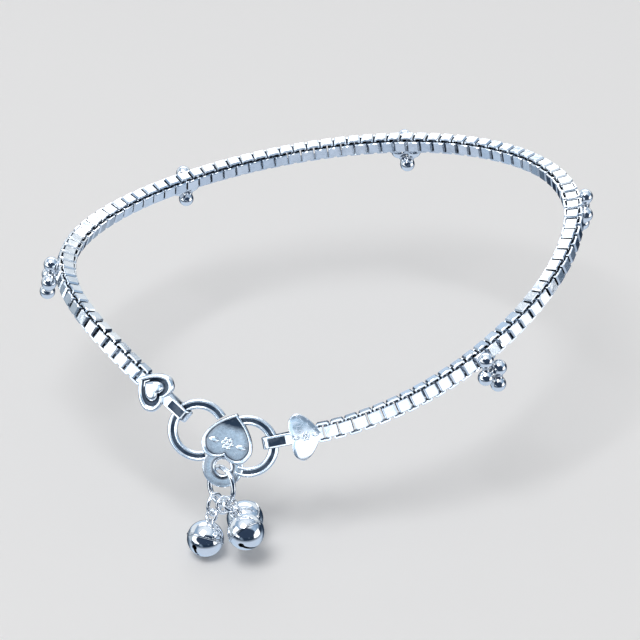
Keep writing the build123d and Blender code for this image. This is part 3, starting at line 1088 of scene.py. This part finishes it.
# ================================================================ hook
def ridged_section():
    """Outline of the ring's band as radius, height and tarnish with painted shade: two ridges
    and a groove, painted dark in the groove.
    """
    half = (hook_ring_outer - hook_ring_inner) * ridge_share / 2
    low = math.asin(groove_floor / ridge_height)
    steps = 6
    top = []
    for middle, start, end, groove_side in (
        (hook_ring_inner + half, math.pi, low, 1),
        (hook_ring_outer - half, math.pi - low, 0.0, -1),
    ):
        for k in range(steps + 1):
            a = start + (end - start) * k / steps
            shade = 0.0
            if math.cos(a) * groove_side > 0:
                shade = min(1.0, max(0.0, (groove_dark_from - math.sin(a)) / groove_fade))
            top.append((middle + half * math.cos(a), ridge_height * math.sin(a), shade))
    for spot in (0, -1):
        top[spot] = (top[spot][0], 0.0, 0.0)
    return top + [(radius, -height, shade) for radius, height, shade in reversed(top[1:-1])]


def add_ridged_ring(work, middle, start, end):
    """Arc of ridged band about a middle, with softly rounded ends."""
    section = ridged_section()
    bevel = ring_end_bevel
    run = end - start - 2 * bevel
    steps = round((end - start) / 4)
    rounding = [(bevel * (1 - math.cos(a)), math.sin(a)) for a in (0.35, 0.8, 1.2)]
    stations = [(start + turn, share) for turn, share in rounding]
    stations += [(start + bevel + run * k / steps, 1.0) for k in range(steps + 1)]
    stations += [(end - turn, share) for turn, share in reversed(rounding)]
    rings = []
    for turn, share in stations:
        a = math.radians(turn)
        share = ring_end_share + (1 - ring_end_share) * share
        rings.append([middle + on_circle(a, band_radius + (radius - band_radius) * share,
                                         height * share) for radius, height, _ in section])
    add_skin(work, rings, across=[shade for _, _, shade in section], capped=True)


def hook_heart_levels():
    """Levels of the hook's heart: its back, its rounded border and its sunk field."""
    back, face, field = hook_heart_back, hook_heart_face, hook_field_share
    # Third value of a level: tarnish and painted shade, darkest where the field meets the
    # border.
    levels = [(0.0, back, 0.3), (0.9, back, 0.2), (0.97, back + 0.04, 0.0),
              (1.0, back + 0.16, 0.0), (1.0, face, 0.0)]
    levels += rounded_border(1.0, field, face + 0.06, hook_heart_rim)
    levels += [(field - 0.01, face, 0.9), (field - 0.06, face - 0.04, 0.6),
               (0.6, face, hook_field_tarnish_and_shade + 0.02), (0.3, face, hook_field_tarnish_and_shade),
               (0.0, face, hook_field_tarnish_and_shade)]
    return levels


def sink_under_tip(work, at_heart):
    """Shallow hollow of the field under the heart's tip, painted darker with painted shade and
    tarnish.
    """
    layer = work.verts.layers.float["recess"]
    to_heart = at_heart.inverted()
    for vert in work.verts:
        across, up, height = to_heart @ vert.co
        on_field = hook_heart_face - 0.05 < height < hook_heart_face + 0.01
        if on_field and abs(across) < hook_hollow_half_width and up > hook_hollow_from:
            share = min(1.0, (up - hook_hollow_from) / hook_hollow_fade)
            shade = hook_field_tarnish_and_shade + (1 - hook_field_tarnish_and_shade) * share
            vert[layer] = max(vert[layer], shade)
            vert.co.z -= hook_hollow_depth * share


def add_tab(work):
    """Round tab with its eye, and a collar of wire round the eye."""
    half, edge = tab_thickness / 2, 0.06
    # Profile: radius, height, and tarnish with painted shade, darkest round the collar and in
    # the eye.
    shaded_lathe(work, (
        (eye_radius, edge - half, 0.4), (eye_radius + edge, -half, 0.3),
        (tab_radius - 0.1, -half, 0.2), (tab_radius - 0.02, edge - half, 0.0),
        (tab_radius, 0.0, 0.0), (tab_radius - 0.02, half - edge, 0.0),
        (tab_radius - 0.1, half, 0.0), (tab_radius - 0.35, half - edge, 0.6),
        (tab_dish_radius, half - 0.04, 0.42),
        (collar_radius + collar_wire + 0.08, half - 0.02, 0.9),
        (collar_radius + 0.16, half + 0.05, 0.5),
        (collar_radius + 0.05, half + collar_wire, 0.0),
        (collar_radius - 0.1, half + 0.8 * collar_wire, 0.0),
        (eye_radius + 0.02, half, 0.3), (eye_radius, half - 0.08, 0.9),
    ), Matrix.Translation((eye_across, -eye_down, 0)), 56, joined=True)


def make_hook():
    """Hook of an open ring and a closed one, with the heart over both and the tab."""
    work = start_work()
    add_ridged_ring(work, Vector((-hook_ring_offset, 0, 0)), open_ring_from, open_ring_to)
    add_ridged_ring(work, Vector((hook_ring_offset, 0, 0)), closed_ring_from, closed_ring_to)
    middle = Vector((hook_heart_shift, hook_heart_top - hook_heart_height / 2, 0))
    at_heart = Matrix.Translation(middle)
    add_heart(work, hook_heart_width, hook_heart_height, at_heart, hook_heart_levels())
    sink_under_tip(work, at_heart)
    on_field = Matrix.Translation(middle + Vector((0, hook_relief_rise, hook_heart_face)))
    add_relief(work, on_field, hook_relief_scale)
    add_tab(work)
    finish_piece(work, "s_hook_with_heart", clasp_place(), "clasp_silver", "clasp_hook")


make_hook()


# ================================================================ end hearts
def strap_outlines():
    """Outline of the folded strap seen from its edge, and of the hole for the ring."""
    low, high = -strap_gap / 2, strap_gap / 2
    half = high + strap_wall
    fold = [(half - half * math.sin(a), half * math.cos(a))
            for a in [math.pi * k / 14 for k in range(15)]]
    top = [(x, half) for x in (strap_length, channel_to, channel_to - channel_end,
                               half + channel_end)]
    bottom = [(strap_length, -half)]
    corner = high * strap_corner_share
    fold_end = strap_wall + corner
    open_end = strap_wall + hook_ring_outer - hook_ring_inner + 2 * strap_play - corner
    hole = []
    for x, y, start in ((open_end, high - corner, 0), (fold_end, high - corner, 90),
                        (fold_end, low + corner, 180), (open_end, low + corner, 270)):
        for k in range(5):
            a = math.radians(start + 22.5 * k)
            hole.append((x + corner * math.cos(a), y + corner * math.sin(a)))
    return top + fold + bottom, hole


def add_strap(work):
    """Strap folded round the hook's ring, with the channel pressed into its face."""
    strip = start_work()
    cut_plate(strip, strap_outlines(), strap_width, strap_edge, quarter_turn)
    bmesh.ops.remove_doubles(strip, verts=strip.verts, dist=MERGE)
    side = channel_width / 2
    for y in (-side, channel_side - side, side - channel_side, side):
        every = strip.verts[:] + strip.edges[:] + strip.faces[:]
        bmesh.ops.bisect_plane(strip, geom=every, plane_co=(0, y, 0), plane_no=(0, 1, 0))
    face = strap_gap / 2 + strap_wall
    # The channel's floor is painted dark, and the strap's inside darker: painted shade and
    # tarnish.
    layer = strip.verts.layers.float["recess"]
    for vert in strip.verts:
        x, y, z = vert.co
        over_channel = channel_from < x < channel_to - channel_end / 2 and z > face - 0.1
        if over_channel and abs(y) < side - channel_side / 2:
            vert.co.z -= channel_depth
            vert[layer] = 1.0
        elif abs(z) < strap_gap / 2 + 0.05 and strap_wall < x < strap_inside_to:
            vert[layer] = 0.8
    take_mesh(work, end_work(strip, "strap"))


def end_heart_levels(bordered):
    """Levels of an end's heart, with a border and a small heart inside it, or plain."""
    back, face = heart_back, heart_face
    levels = [(0.0, back, 0.3), (0.88, back, 0.2), (0.96, back + 0.05, 0.1),
              (1.0, back + 0.18, 0.0)]
    if not bordered:
        return levels + [(1.0, face - 0.14, 0.0), (0.985, face - 0.04, 0.0), (0.95, face, 0.0),
                         (0.7, face, 0.05), (0.4, face, 0.1), (0.0, face, 0.1)]
    top = small_heart_top
    levels += rounded_border(1.0, border_share, face + 0.05, heart_rim)
    # The sunk ring between the border and the small heart is painted fully dark: painted shade
    # and tarnish.
    levels += [(border_share - 0.02, face - 0.1, 1.0), (0.6, face - 0.2, 1.0),
               (0.53, face - 0.05, 0.9), (0.5, top - 0.27, 0.2), (0.42, top - 0.1, 0.0),
               (0.3, top - 0.03, 0.0), (0.15, top, 0.0), (0.0, top, 0.0)]
    return levels


def bend_back(work, half):
    """Crown on a flat heart: its face falls away on both sides of the chain's line."""
    for vert in work.verts:
        if vert.co.z > heart_face - 0.2 and vert.co.x > strap_length - 1:
            vert.co.z -= heart_crown * (vert.co.y / half) ** 2


def make_end(name):
    """End of the chain: folded strap, heart, neck and fixed link."""
    size = end_sizes[name]
    work = start_work()
    add_strap(work)
    middle = size["lobes_at"] + size["length"] / 2
    turned = Matrix.Translation((middle, 0, 0)) @ Matrix.Rotation(-math.pi / 2, 4, "Z")
    add_heart(work, size["width"], size["length"], turned, end_heart_levels(size["bordered"]))
    if not size["bordered"]:
        bend_back(work, size["width"] / 2)
        add_relief(work, Matrix.Translation((middle, 0, heart_face)), end_relief_scale)
    stub = stub_middle(name)
    add_face_link(work, Matrix.Translation((stub, 0, 0)), "clasp_silver")
    neck_top = heart_back + neck_overlap
    add_block(work, (strap_length - neck_overlap, -strip_width / 2, neck_top - neck_height),
              (stub - link_length / 2 + neck_overlap, strip_width / 2, neck_top), neck_edge)
    finish_piece(work, f"{name}_heart_and_strap", end_place(name), "clasp_silver",
                 f"{name}_end_heart")


for name in end_sizes:
    make_end(name)


# ================================================================ bells
# Foot of solder under the bell's loop: radius, height, tarnish and painted shade.
loop_foot = ((0, -0.3, 0.3), (0.85, -0.3, 0.7), (0.66, 0.02, 0.6), (0.5, 0.12, 0.5),
             (0.42, 0.3, 0.3), (0, 0.32, 0.3))


def bell_profile():
    """Outside of the bell with the bead of its seam, as radius, height, and tarnish with
    painted shade along the seam.
    """
    rows = 18
    seam = bell_seam_height / 2
    proud = bell_radius + bell_seam_proud
    upper = []
    for k in range(rows + 1):
        a = math.acos(seam / bell_radius) * k / rows
        shade = 0.5 if k == rows else 0.0
        upper.append((bell_radius * math.sin(a), bell_radius * math.cos(a), shade))
    upper += [(proud - 0.06, seam - 0.01, 0.3), (proud, seam - 0.08, 0.0), (proud, 0.05, 0.0),
              (proud - 0.05, 0.02, 0.8)]
    return upper + [(radius, -height, shade) for radius, height, shade in reversed(upper)]


def bell_body():
    """Hollow bell of two soldered halves, before its slit is cut."""
    work = start_work()
    shaded_lathe(work, bell_profile(), NO_MOVE, 64)
    bmesh.ops.recalc_face_normals(work, faces=work.faces)
    outside = set(work.faces)
    inside = ball_profile(bell_radius - bell_wall, 20)
    # The lining inside the bell is painted fully dark: painted shade and tarnish.
    lathe(work, inside, shades=[1.0] * len(inside))
    lining = [f for f in work.faces if f not in outside]
    bmesh.ops.recalc_face_normals(work, faces=lining)
    bmesh.ops.reverse_faces(work, faces=lining)
    bmesh.ops.remove_doubles(work, verts=work.verts, dist=MERGE)
    return add_object("bell_body", end_work(work, "bell_body"))


def slit_tools():
    """Saw blade for the slit, and drills for the round holes at its ends."""
    reach = bell_radius * math.sin(math.radians(bell_slit_turn))
    saw = start_work()
    add_block(saw, (-bell_slit / 2, -reach, -1.5 * bell_radius),
              (bell_slit / 2, reach, -bell_radius / 2), slit_edge)
    tools = [saw]
    for side in (-1, 1):
        drill = start_work()
        turn = Matrix.Rotation(math.radians(side * bell_slit_turn), 4, "X")
        lathe(drill, ((0, 0), (bell_slit_end, 0), (bell_slit_end, -2 * bell_radius),
                      (0, -2 * bell_radius)), turn, 24)
        tools.append(drill)
    return tools


def slit_bell():
    """Mesh of the bell with its slit cut across the bottom."""
    body = bell_body()
    helps = [body]
    for tool in slit_tools():
        close_up(tool)
        cutter = add_object("cutter", end_work(tool, "cutter"))
        cut = body.modifiers.new("cut", "BOOLEAN")
        cut.operation, cut.solver, cut.object = "DIFFERENCE", "EXACT", cutter
        helps.append(cutter)
    made = evaluated_mesh(body)
    for thing in helps:
        discard(thing)
    return made


def make_bell(name, place, shell):
    """Bell with its loop, and the finish of the pellet inside it."""
    work = start_work()
    work.from_mesh(shell)
    upright = Matrix.Translation((0, 0, bell_drop)) @ quarter_turn
    add_wire_ring(work, upright, bell_loop_radius, bell_loop_wire, 36)
    shaded_lathe(work, loop_foot, Matrix.Translation((0, 0, bell_radius)), 24)
    finish_piece(work, f"bell_shell_{name}", place, "bell_silver", f"bell_{name}", 30.0)
    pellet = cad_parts[f"bell_pellet_{name}"].data
    pellet.materials.clear()
    pellet.materials.append(finishes["pellet_metal"])


def make_jump_ring(name, place, radius, wire, steps, cut, node):
    """Jump ring, cut across at an angle and by a width, both in degrees."""
    at, wide = cut
    work = start_work()
    add_wire_ring(work, Matrix.Rotation(math.radians(at), 4, "Z"), radius, wire, steps, wide)
    finish_piece(work, name, place, "ring_silver", node)


shell = slit_bell()
for name, *spot in bells:
    link_place, bell_place, link_radius = bell_places(*spot)
    make_bell(name, bell_place, shell)
    make_jump_ring(f"small_jump_ring_{name}", link_place, link_radius, bell_link_wire, 48,
                   bell_link_cut, f"bell_link_{name}")
make_jump_ring("big_jump_ring", hanger_place(), hanger_radius, hanger_wire, 72, hanger_cut,
               "bell_hanger_ring")


# ================================================================ stage, light, camera
floor_width = 40.0           # in metres, as all of the stage is
floor_under = 0.0002         # the anklet's lowest point
floor_pale = (0.88, 0.875, 0.875)
floor_mottle = 0.97          # of that colour, where the floor is darkest


def add_floor():
    """Wide matt floor with a faint mottle, which the silver doesn't mirror."""
    material, tree, shader = start_material("floor_pale")
    darkest = (*(c * floor_mottle for c in floor_pale), 1)
    mottle = noise(tree, piece_coordinates(tree), 6.0, 2.0)
    tree.links.new(mixed(tree, mottle, (*floor_pale, 1), darkest), shader.inputs["Base Color"])
    shader.inputs["Roughness"].default_value = 0.7
    half, height = floor_width / 2, cad_low.z - floor_under
    corners = [(x * half, y * half, height) for x, y in ((-1, -1), (1, -1), (1, 1), (-1, 1))]
    mesh = bpy.data.meshes.new("floor")
    mesh.from_pydata(corners, [], [(0, 1, 2, 3)])
    mesh.materials.append(material)
    floor = add_object("floor", mesh)
    floor.visible_glossy = False


def soft_box_group():
    """Soft-edged patch in one direction of the room, as a mask.
    Its squareness is 2 for an oval, and more for a box with rounded corners."""
    group, given, result = shader_group("soft_box", (
        ("Looking", "NodeSocketVector", None),
        ("Middle", "NodeSocketVector", None),
        ("Across", "NodeSocketVector", None),
        ("Upward", "NodeSocketVector", None),
        ("Half Width", "NodeSocketFloat", 0.4),
        ("Half Height", "NodeSocketFloat", 0.3),
        ("Squareness", "NodeSocketFloat", 8.0),
    ), (("Mask", "NodeSocketFloat"),))

    def along(name):
        node = group.nodes.new("ShaderNodeVectorMath")
        node.operation = "DOT_PRODUCT"
        wire_up(group, ((given["Looking"], node.inputs[0]), (given[name], node.inputs[1])))
        return node.outputs["Value"]

    depth = along("Middle")
    reach = []
    for name, half in (("Across", "Half Width"), ("Upward", "Half Height")):
        off = maths(group, "ABSOLUTE", maths(group, "DIVIDE", along(name), depth))
        off = maths(group, "DIVIDE", off, given[half])
        reach.append(maths(group, "POWER", off, given["Squareness"]))
    inside = spread(group, maths(group, "ADD", *reach), 1.25, 0.8)
    in_front = maths(group, "GREATER_THAN", depth, 0.05)
    group.links.new(maths(group, "MULTIPLY", inside, in_front), result["Mask"])
    return group


soft_box = soft_box_group()


def add_soft_box(sky, looking, room, box, squareness=8.0):
    """Room with one more soft box; its glow is how bright its colour shines."""
    middle, half_width, half_height, glow, colour = box
    middle = Vector(middle).normalized()
    across = middle.cross(UPWARD).normalized()
    node = group_node(sky, soft_box, {
        "Looking": looking, "Middle": middle, "Across": across, "Upward": across.cross(middle),
        "Half Width": half_width, "Half Height": half_height, "Squareness": squareness})
    return mixed(sky, node.outputs["Mask"], room, tuple(c * glow for c in colour) + (1,))


# Soft boxes: direction, half their width and height, glow, colour.
soft_boxes = (
    ((-0.92, -0.3, 0.3), 0.52, 0.42, 1.9, (0.92, 0.97, 1.0)),    # on the left
    ((0.85, -0.42, 0.0), 0.42, 0.3, 1.5, (0.96, 0.98, 1.0)),     # on the right
    ((0.14, 0.8, 0.59), 0.5, 0.25, 2.2, (0.96, 0.98, 1.0)),      # high behind
    ((-0.87, 0.5, -0.05), 0.35, 0.3, 0.6, (0.75, 0.88, 1.0)),    # low behind, on the left
    ((-0.62, 0.74, 0.2), 0.4, 0.3, 0.9, (0.9, 0.96, 1.0)),       # behind, on both sides
    ((0.62, 0.74, 0.2), 0.4, 0.3, 0.9, (0.9, 0.96, 1.0)),
)
opening = ((-0.14, -0.85, 0.5), 1.6, 0.6)     # the wide dark opening in front
opening_dark = (0.03, 0.05, 0.09)


def studio_room(sky, around):
    """Dark room with paler patches overhead, underfoot, behind and here and there."""
    split = sky.nodes.new("ShaderNodeSeparateXYZ")
    sky.links.new(around, split.inputs[0])
    depth, height = split.outputs[1], split.outputs[2]
    near = maths(sky, "MULTIPLY", spread(sky, depth, 0.5, 0.15),
                 spread(sky, height, -0.3, -0.55))
    patches = spread(sky, noise(sky, around, 1.1, 2.0), 0.5, 0.68)
    behind = maths(sky, "MULTIPLY", spread(sky, depth, 0.75, 0.92),
                   spread(sky, height, -0.42, -0.25))
    room = (0.02, 0.036, 0.065, 1)
    for share, colour in (
        (spread(sky, height, 0.05, 0.5), (0.3, 0.42, 0.58, 1)),
        (spread(sky, height, 0.68, 0.88), (0.86, 0.93, 1.0, 1)),
        (spread(sky, height, -0.68, -0.86), (0.7, 0.8, 0.92, 1)),
        (near, (0.56, 0.65, 0.78, 1)),
        (maths(sky, "MULTIPLY", patches, 0.6), (0.5, 0.66, 0.84, 1)),
        (behind, (0.62, 0.76, 0.92, 1)),
    ):
        room = mixed(sky, share, room, colour)
    return room


def make_studio():
    """Studio that the silver mirrors: a dark room, soft boxes and a dark opening in front.
    The camera sees a plain pale backdrop instead, and an even light falls on matt things."""
    world = bpy.data.worlds.new("studio")
    world.use_nodes = True
    sky = world.node_tree
    around = sky.nodes.new("ShaderNodeTexCoord").outputs["Generated"]
    room = studio_room(sky, around)
    for box in soft_boxes:
        room = add_soft_box(sky, around, room, box)
    room = add_soft_box(sky, around, room, (*opening, 1.0, opening_dark), 2.0)
    rays = sky.nodes.new("ShaderNodeLightPath").outputs
    room = mixed(sky, rays["Is Diffuse Ray"], room, (0.42, 0.42, 0.42, 1))
    room = mixed(sky, rays["Is Camera Ray"], room, (0.75, 0.75, 0.755, 1))
    sky.links.new(room, sky.nodes["Background"].inputs["Color"])
    bpy.context.scene.world = world
    bpy.context.scene.view_settings.view_transform = "Standard"


# The key lamp, high on the left, gives the floor its soft shadow.  The others stand in the
# dark opening for the flat pieces alone, so that round ones mirror it as one dark patch.
key_lamp = ((-0.26, -0.22, 0.94), 0.25, 0.25, 6.0, (1.0, 1.0, 1.0))
flat_lamps = {
    "opening_lamp": (*opening, 0.3, (0.6, 0.8, 1.0)),
    "heart_lamp": ((-0.351, -0.827, 0.438), 0.17, 0.25, 0.8, (0.64, 0.84, 1.0)),
    "plate_lamp": ((0.187, -0.96, 0.208), 0.5, 0.27, 1.25, (0.96, 0.98, 1.0)),
    "side_lamp": ((-0.75, -0.55, 0.3), 0.3, 0.42, 1.7, (0.92, 0.97, 1.0)),
}
flat_pieces = ("box_chain_links", "s_hook_with_heart", "left_heart_and_strap",
               "right_heart_and_strap")
lamp_distance = 2.0


def add_lamp(name, box, lit=None):
    """Lamp in one direction of the room, given as a soft box is, which may light some
    pieces alone."""
    way, half_width, half_height, glow, colour = box
    way = Vector(way).normalized()
    light = bpy.data.lights.new(name, "AREA")
    light.shape = "RECTANGLE"
    light.size = 2 * lamp_distance * half_width
    light.size_y = 2 * lamp_distance * half_height
    light.energy = glow * math.pi * light.size * light.size_y
    light.color = colour
    lamp = add_object(name, light)
    lamp.location = way * lamp_distance
    lamp.rotation_euler = way.to_track_quat("Z", "Y").to_euler()
    lamp.visible_camera = False
    lamp.light_linking.receiver_collection = lit


def add_lamps():
    """Key lamp, and the lamps of the flat pieces."""
    add_lamp("key_lamp", key_lamp)
    lit = bpy.data.collections.new("flat_pieces")
    for name in flat_pieces:
        lit.objects.link(bpy.data.objects[name])
    for name, box in flat_lamps.items():
        add_lamp(name, box, lit)


view_azimuth = math.radians(-10.0)
view_elevation = math.radians(36.0)
view_distance = 0.479        # from the loop's middle
view_width = 0.11            # of the scene, at the loop's middle
view_lowered = 0.0106        # so that the bells have room under them
sensor_width = 36.0


def add_camera():
    """Camera in front of the anklet and above it."""
    back = Vector((
        math.sin(view_azimuth) * math.cos(view_elevation),
        -math.cos(view_azimuth) * math.cos(view_elevation),
        math.sin(view_elevation),
    ))
    up = back.cross(Vector((math.cos(view_azimuth), math.sin(view_azimuth), 0)))
    lens = bpy.data.cameras.new("view")
    lens.sensor_width = sensor_width
    lens.lens = sensor_width * view_distance / view_width
    camera = add_object("view", lens)
    camera.location = back * view_distance - up * view_lowered
    camera.rotation_euler = back.to_track_quat("Z", "Y").to_euler()
    bpy.context.scene.camera = camera


add_floor()
make_studio()
add_lamps()
add_camera()
